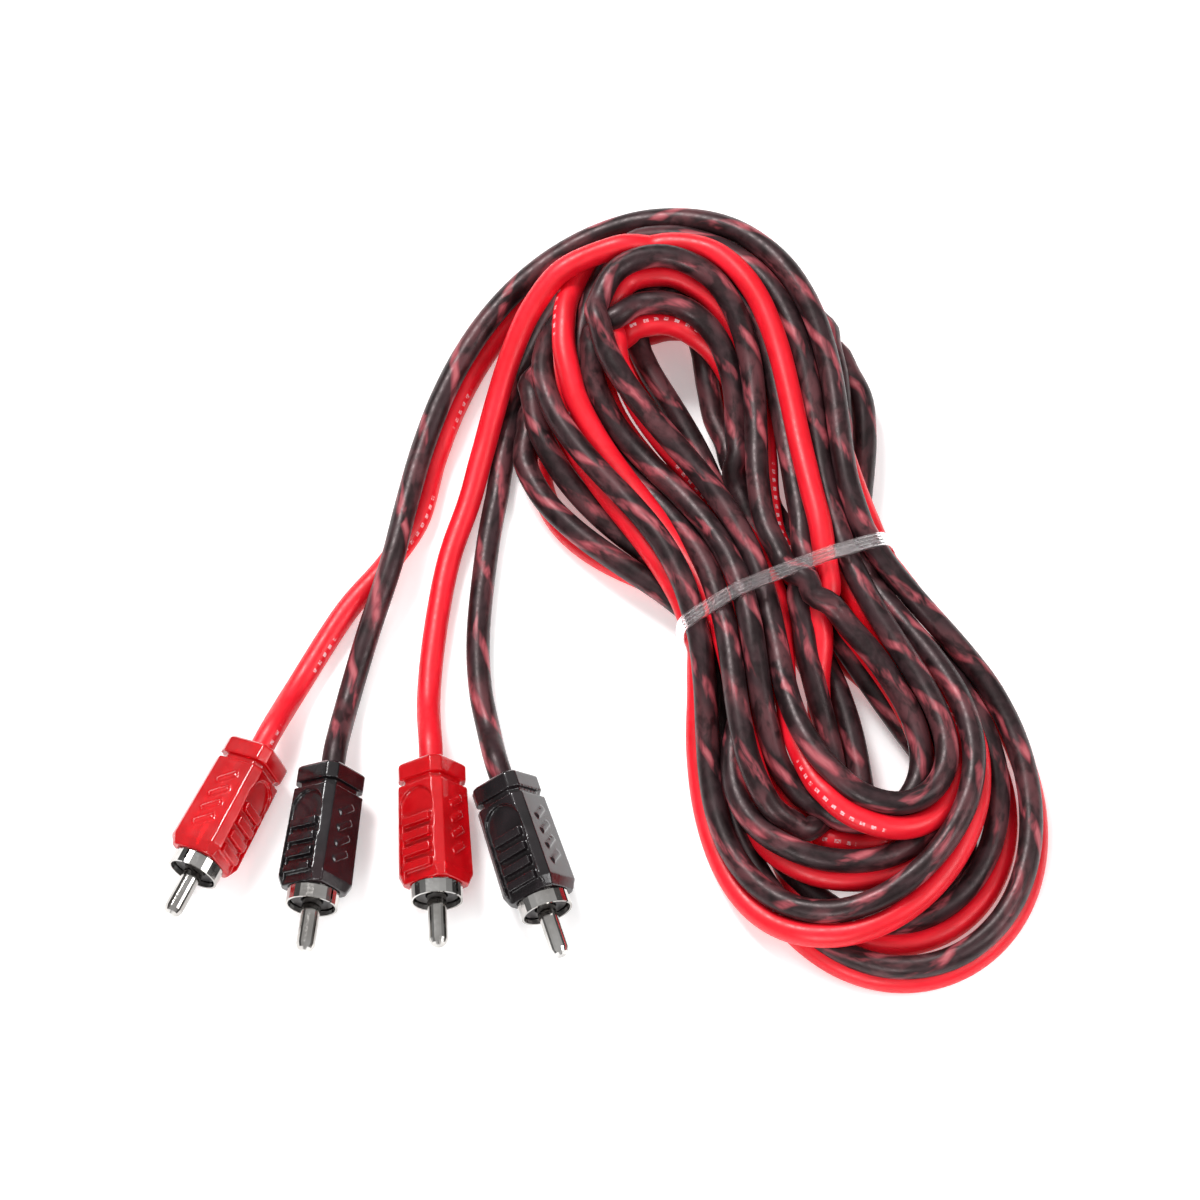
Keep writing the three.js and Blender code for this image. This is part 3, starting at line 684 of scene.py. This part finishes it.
def black_jacket():
    s = Shader("black_jacket")
    wave = twist(s, 0.030, 2, 0.7)
    second = twist(s, 0.024, 1, 1.3)
    patch = brushed_patches(s, 0.007, 5.0)
    cloud = brushed_patches(s, 0.004, 9.0)
    base = s.mix(s.span(cloud, 0.35, 0.65), colour(24, 13, 15), colour(52, 34, 37))
    faint = s.math("MULTIPLY", s.span(second, -0.1, 1.0), s.span(cloud, 0.38, 0.6, 0.1, 0.6))
    base = s.mix(faint, base, colour(98, 54, 58))
    streak = s.math("MULTIPLY", s.span(wave, 0.35, 1.0), s.span(patch, 0.42, 0.6, 0.0, 0.95))
    base = s.mix(streak, base, colour(150, 68, 76))
    core = s.math("MULTIPLY", s.span(wave, 0.8, 1.0), s.span(patch, 0.55, 0.68, 0, 0.5))
    base = s.mix(core, base, colour(190, 108, 112))
    relief = jacket_relief(s, wave)
    rough = s.span(s.noise(s.place(), 900, 3), 0.3, 0.7, 0.32, 0.46)
    s.set(Base_Color=base, Roughness=rough, Normal=relief, Specular_IOR_Level=0.34)
    s.set(Specular_Tint=(1.0, 0.86, 0.86, 1.0))
    return s.material


def moulding(name, dark, light, tint, clear):
    """Glossy moulded plastic in two shades with a tint, which lets a share `clear` of light in."""
    s = Shader(name)
    cloud = s.noise(s.place(), 130, 3, 0.5, 0.4)
    base = s.mix(s.span(cloud, 0.32, 0.68), dark, light)
    base = s.mix(s.span(s.noise(s.place(), 70, 2), 0.5, 0.75, 0, 0.5), base, tint)
    flow = s.noise(s.place(), 300, 2)
    relief = s.bump(flow, 0.15, 0.00012)
    relief = s.bump(s.noise(s.place(), 2600, 3), 0.12, 0.00005, relief)
    rough = s.span(s.noise(s.place(), 500, 3), 0.3, 0.7, 0.14, 0.26)
    s.set(Base_Color=base, Roughness=rough, Normal=relief, IOR=1.46)
    s.set(Transmission_Weight=clear, Coat_Weight=0.35, Coat_Roughness=0.1)
    return s.material


def plated_metal():
    s = Shader("plated_metal")
    tarnish = s.noise(s.place(), 160, 3, 0.5)
    base = s.mix(s.span(tarnish, 0.35, 0.7), colour(205, 203, 200), colour(176, 172, 168))
    scratch = s.noise(s.scaled(s.place(), 1, 1, 0.2), 2400, 2)
    relief = s.bump(scratch, 0.05, 0.00002)
    rough = s.span(scratch, 0.3, 0.7, 0.08, 0.16)
    s.set(Base_Color=base, Metallic=1.0, Roughness=rough, Normal=relief)
    return s.material


def insulator():
    s = Shader("insulator")
    speck = s.noise(s.place(), 1400, 4)
    base = s.mix(s.span(speck, 0.35, 0.7), colour(28, 26, 27), colour(52, 48, 49))
    relief = s.bump(s.noise(s.place(), 4000, 3), 0.25, 0.00005)
    s.set(Base_Color=base, Roughness=s.span(speck, 0.3, 0.7, 0.32, 0.5), Normal=relief)
    return s.material


def core():
    s = Shader("core")
    speck = s.noise(s.place(), 900, 3)
    base = s.mix(s.span(speck, 0.3, 0.7), colour(214, 208, 196), colour(238, 234, 224))
    relief = s.bump(s.noise(s.place(), 3800, 3), 0.2, 0.00004)
    s.set(Base_Color=base, Roughness=s.span(speck, 0.3, 0.7, 0.35, 0.5), Normal=relief)
    return s.material


def copper():
    s = Shader("copper")
    strands = s.noise(s.scaled(s.place(), 1, 1, 4), 2600, 3)
    base = s.mix(s.span(strands, 0.35, 0.65), colour(150, 84, 50), colour(216, 136, 92))
    relief = s.bump(strands, 0.6, 0.00015)
    s.set(Base_Color=base, Metallic=1.0, Roughness=s.span(strands, 0.3, 0.7, 0.25, 0.4))
    s.set(Normal=relief)
    return s.material


def clear_tie():
    s = Shader("tie")
    haze = s.noise(s.place(), 1500, 4)
    base = s.mix(s.span(haze, 0.3, 0.7), colour(246, 236, 238), colour(255, 252, 252))
    relief = s.bump(s.noise(s.place(), 1200, 2), 0.12, 0.00005)
    s.set(Base_Color=base, Roughness=s.span(haze, 0.3, 0.7, 0.02, 0.07), Normal=relief)
    s.set(Transmission_Weight=0.95, IOR=1.38, Coat_Weight=0.2, Coat_Roughness=0.04)
    return s.material


MATERIALS = {
    "red_jacket": red_jacket(),
    "black_jacket": black_jacket(),
    "red_overmould": moulding(
        "red_overmould", colour(214, 6, 18), colour(238, 16, 28), colour(186, 4, 14), 0.45
    ),
    "black_overmould": moulding(
        "black_overmould", colour(24, 20, 22), colour(42, 35, 38), colour(58, 30, 36), 0.3
    ),
    "plated_metal": plated_metal(),
    "insulator": insulator(),
    "core": core(),
    "copper": copper(),
    "tie": clear_tie(),
}

# ---------- The two cords ----------


def build_cords(leads):
    for line, (name, (first, last)) in zip(leads, CORD_ENDS.items()):
        path = catmull_rom(line, RING_STEP)
        row = to_row(path)
        mesh = grid_mesh(f"{name}_cord", tube_rings(row, LEAD / 2 * MM))
        cord = link(f"{name}_cord", mesh, SLOTS[name])
        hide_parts(f"{first}_lead", f"{last}_lead", "hank")


LEADS = relax(*joined_leads())
build_cords(LEADS)

# ---------- The tie ----------

TIE_WIDTH = 2.5
TIE_THICKNESS = 0.85
TIE_RIBS = 4
TIE_RIB_HEIGHT = 0.34
TIE_EDGE = 0.3  # thickness at the band's two edges
TIE_GAP = 0.06  # between the leads and the band
TIE_STEP = 0.6  # between the band's sections
TIE_SMOOTHING = 6  # passes that round the band's path
TIE_LOWEST = 0.05  # height of the band's underside over the floor


def hull(points):
    """Convex hull of 2-D points, anticlockwise."""
    points = sorted(map(tuple, points))

    def half(run):
        chain = []
        for p in run:
            while len(chain) > 1:
                (ax, ay), (bx, by) = chain[-2:]
                if (bx - ax) * (p[1] - ay) - (by - ay) * (p[0] - ax) > 0:
                    break
                chain.pop()
            chain.append(p)
        return chain[:-1]

    return np.array(half(points) + half(points[::-1]))


def tie():
    """A ribbed band round the leads at the waist."""
    points = np.vstack(LEADS)
    u, v = to_hank(points)
    near = (np.abs(u) < TIE_WIDTH) & (np.abs(v) < 2 * WAIST_HALF)
    angles = np.linspace(0, 2 * math.pi, 48, endpoint=False)
    reach = LEAD / 2 + TIE_GAP
    circles = [
        (a + reach * math.cos(t), b + reach * math.sin(t))
        for a, b in zip(v[near], points[near, 2])
        for t in angles
    ]
    ring = hull(circles)
    loop = np.vstack([ring, ring[:1]])
    flat = resample(np.column_stack([loop, 0 * loop[:, 0]]), TIE_STEP)[:-1, :2]
    for _ in range(TIE_SMOOTHING):
        flat = 0.5 * flat + 0.25 * (np.roll(flat, 1, axis=0) + np.roll(flat, -1, axis=0))
    tangent = np.roll(flat, -1, axis=0) - np.roll(flat, 1, axis=0)
    tangent /= np.linalg.norm(tangent, axis=1)[:, None]
    outward = np.column_stack([tangent[:, 1], -tangent[:, 0]])
    across = np.linspace(-1, 1, 33)
    crown = TIE_RIB_HEIGHT * np.abs(np.cos(across * math.pi * TIE_RIBS / 2))
    edge = np.clip((1 - np.abs(across)) * 6, 0, 1) ** 0.5
    outer = TIE_THICKNESS - TIE_RIB_HEIGHT + crown
    height = TIE_EDGE + (outer - TIE_EDGE) * edge
    section = [(w * TIE_WIDTH / 2, h) for w, h in zip(across, height)]
    section += [(w * TIE_WIDTH / 2, 0.0) for w in across[::-4]]
    rings = []
    for p, n in zip(flat, outward):
        rings.append([])
        for w, h in section:
            x, y = to_floor(w, p[0] + n[0] * h)
            rings[-1].append((x, y, max(p[1] + n[1] * h, TIE_LOWEST)))
    mesh = grid_mesh("tie_band", to_row(rings), closed_along=True)
    band = link("tie_band", mesh, "tie")
    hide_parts("tie")


tie()

# ---------- The plugs ----------

NODE_SLOTS = {
    "ground_shell": "plated_metal", "insulator": "insulator", "centre_pin": "plated_metal",
    "ground_lug": "plated_metal", "shield": "copper", "core_wire": "core",
}
SHARP = math.radians(32)  # edges sharper than this stay sharp
SKIN_VOXEL = 0.17  # of the remesh that rounds a moulded plug's edges


def dress(name, slot, moulded=False):
    """Gives a CAD node its material, and a moulded one its rounded edges."""
    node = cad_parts[name]
    node.data.materials.clear()
    node.data.materials.append(MATERIALS[slot])
    node.data.polygons.foreach_set("use_smooth", [True] * len(node.data.polygons))
    node.data.set_sharp_from_angle(angle=SHARP)
    if moulded:
        skin = node.modifiers.new("skin", "REMESH")
        skin.mode = "VOXEL"
        skin.voxel_size = SKIN_VOXEL * MM
        skin.use_smooth_shade = True
        soften = node.modifiers.new("soften", "SMOOTH")
        soften.factor = 0.5
        soften.iterations = 5


for plug, facts in PLUGS.items():
    dress(f"{plug}_overmould", f"{facts['colour']}_overmould", moulded=True)
    for node, slot in NODE_SLOTS.items():
        dress(f"{plug}_{node}", slot)
for name in [f"{plug}_lead" for plug in PLUGS] + ["hank"]:
    dress(name, "black_jacket")
dress("tie", "tie")

# ---------- Floor, light and backdrop ----------

FLOOR_HALF = 3.0


def floor():
    mesh = bpy.data.meshes.new("floor")
    corners = [(x * FLOOR_HALF, y * FLOOR_HALF, 0) for x, y in ((-1, -1), (1, -1), (1, 1), (-1, 1))]
    mesh.from_pydata(corners, [], [(0, 1, 2, 3)])
    plane = bpy.data.objects.new("floor", mesh)
    bpy.context.scene.collection.objects.link(plane)
    s = Shader("floor")
    base = s.mix(s.noise(s.place(), 6, 3), (0.93, 0.93, 0.93, 1), (0.95, 0.95, 0.95, 1))
    s.set(Base_Color=base, Roughness=0.8, Specular_IOR_Level=0.2)
    s.set(Emission_Color=(1, 1, 1, 1), Emission_Strength=0.3)
    mesh.materials.append(s.material)


def area_light(name, place, size, watts):
    data = bpy.data.lights.new(name, "AREA")
    data.size = size
    data.energy = watts
    lamp = bpy.data.objects.new(name, data)
    lamp.location = place
    lamp.rotation_euler = (-Vector(place)).to_track_quat("-Z", "Y").to_euler()
    bpy.context.scene.collection.objects.link(lamp)


WORLD_STOPS = ((0.0, 1.0), (0.14, 0.3), (0.38, 0.16), (0.56, 0.85), (1.0, 0.9))  # height, level
WORLD_STRENGTH = 0.6


def lighting():
    """A grey gradient from below to above that the metal mirrors, and three soft lamps."""
    world = bpy.data.worlds.new("studio")
    world.use_nodes = True
    nodes, links = world.node_tree.nodes, world.node_tree.links
    ramp = nodes.new("ShaderNodeValToRGB")
    split = nodes.new("ShaderNodeSeparateXYZ")
    links.new(nodes.new("ShaderNodeTexCoord").outputs["Generated"], split.inputs[0])
    links.new(split.outputs["Z"], ramp.inputs["Fac"])
    while len(ramp.color_ramp.elements) < len(WORLD_STOPS):
        ramp.color_ramp.elements.new(0.5)
    for element, (at, level) in zip(ramp.color_ramp.elements, WORLD_STOPS):
        element.position = at
        element.color = (level, level, level, 1)
    background = nodes["Background"]
    links.new(ramp.outputs["Color"], background.inputs[0])
    background.inputs[1].default_value = WORLD_STRENGTH
    bpy.context.scene.world = world
    area_light("key", (-0.3, 0.5, 0.75), 0.28, 8.0)
    area_light("fill", (0.6, -0.2, 0.6), 0.4, 3.0)
    area_light("front", (-0.25, -0.7, 0.5), 0.3, 3.2)


floor()
lighting()
bpy.context.scene.view_settings.view_transform = "Standard"
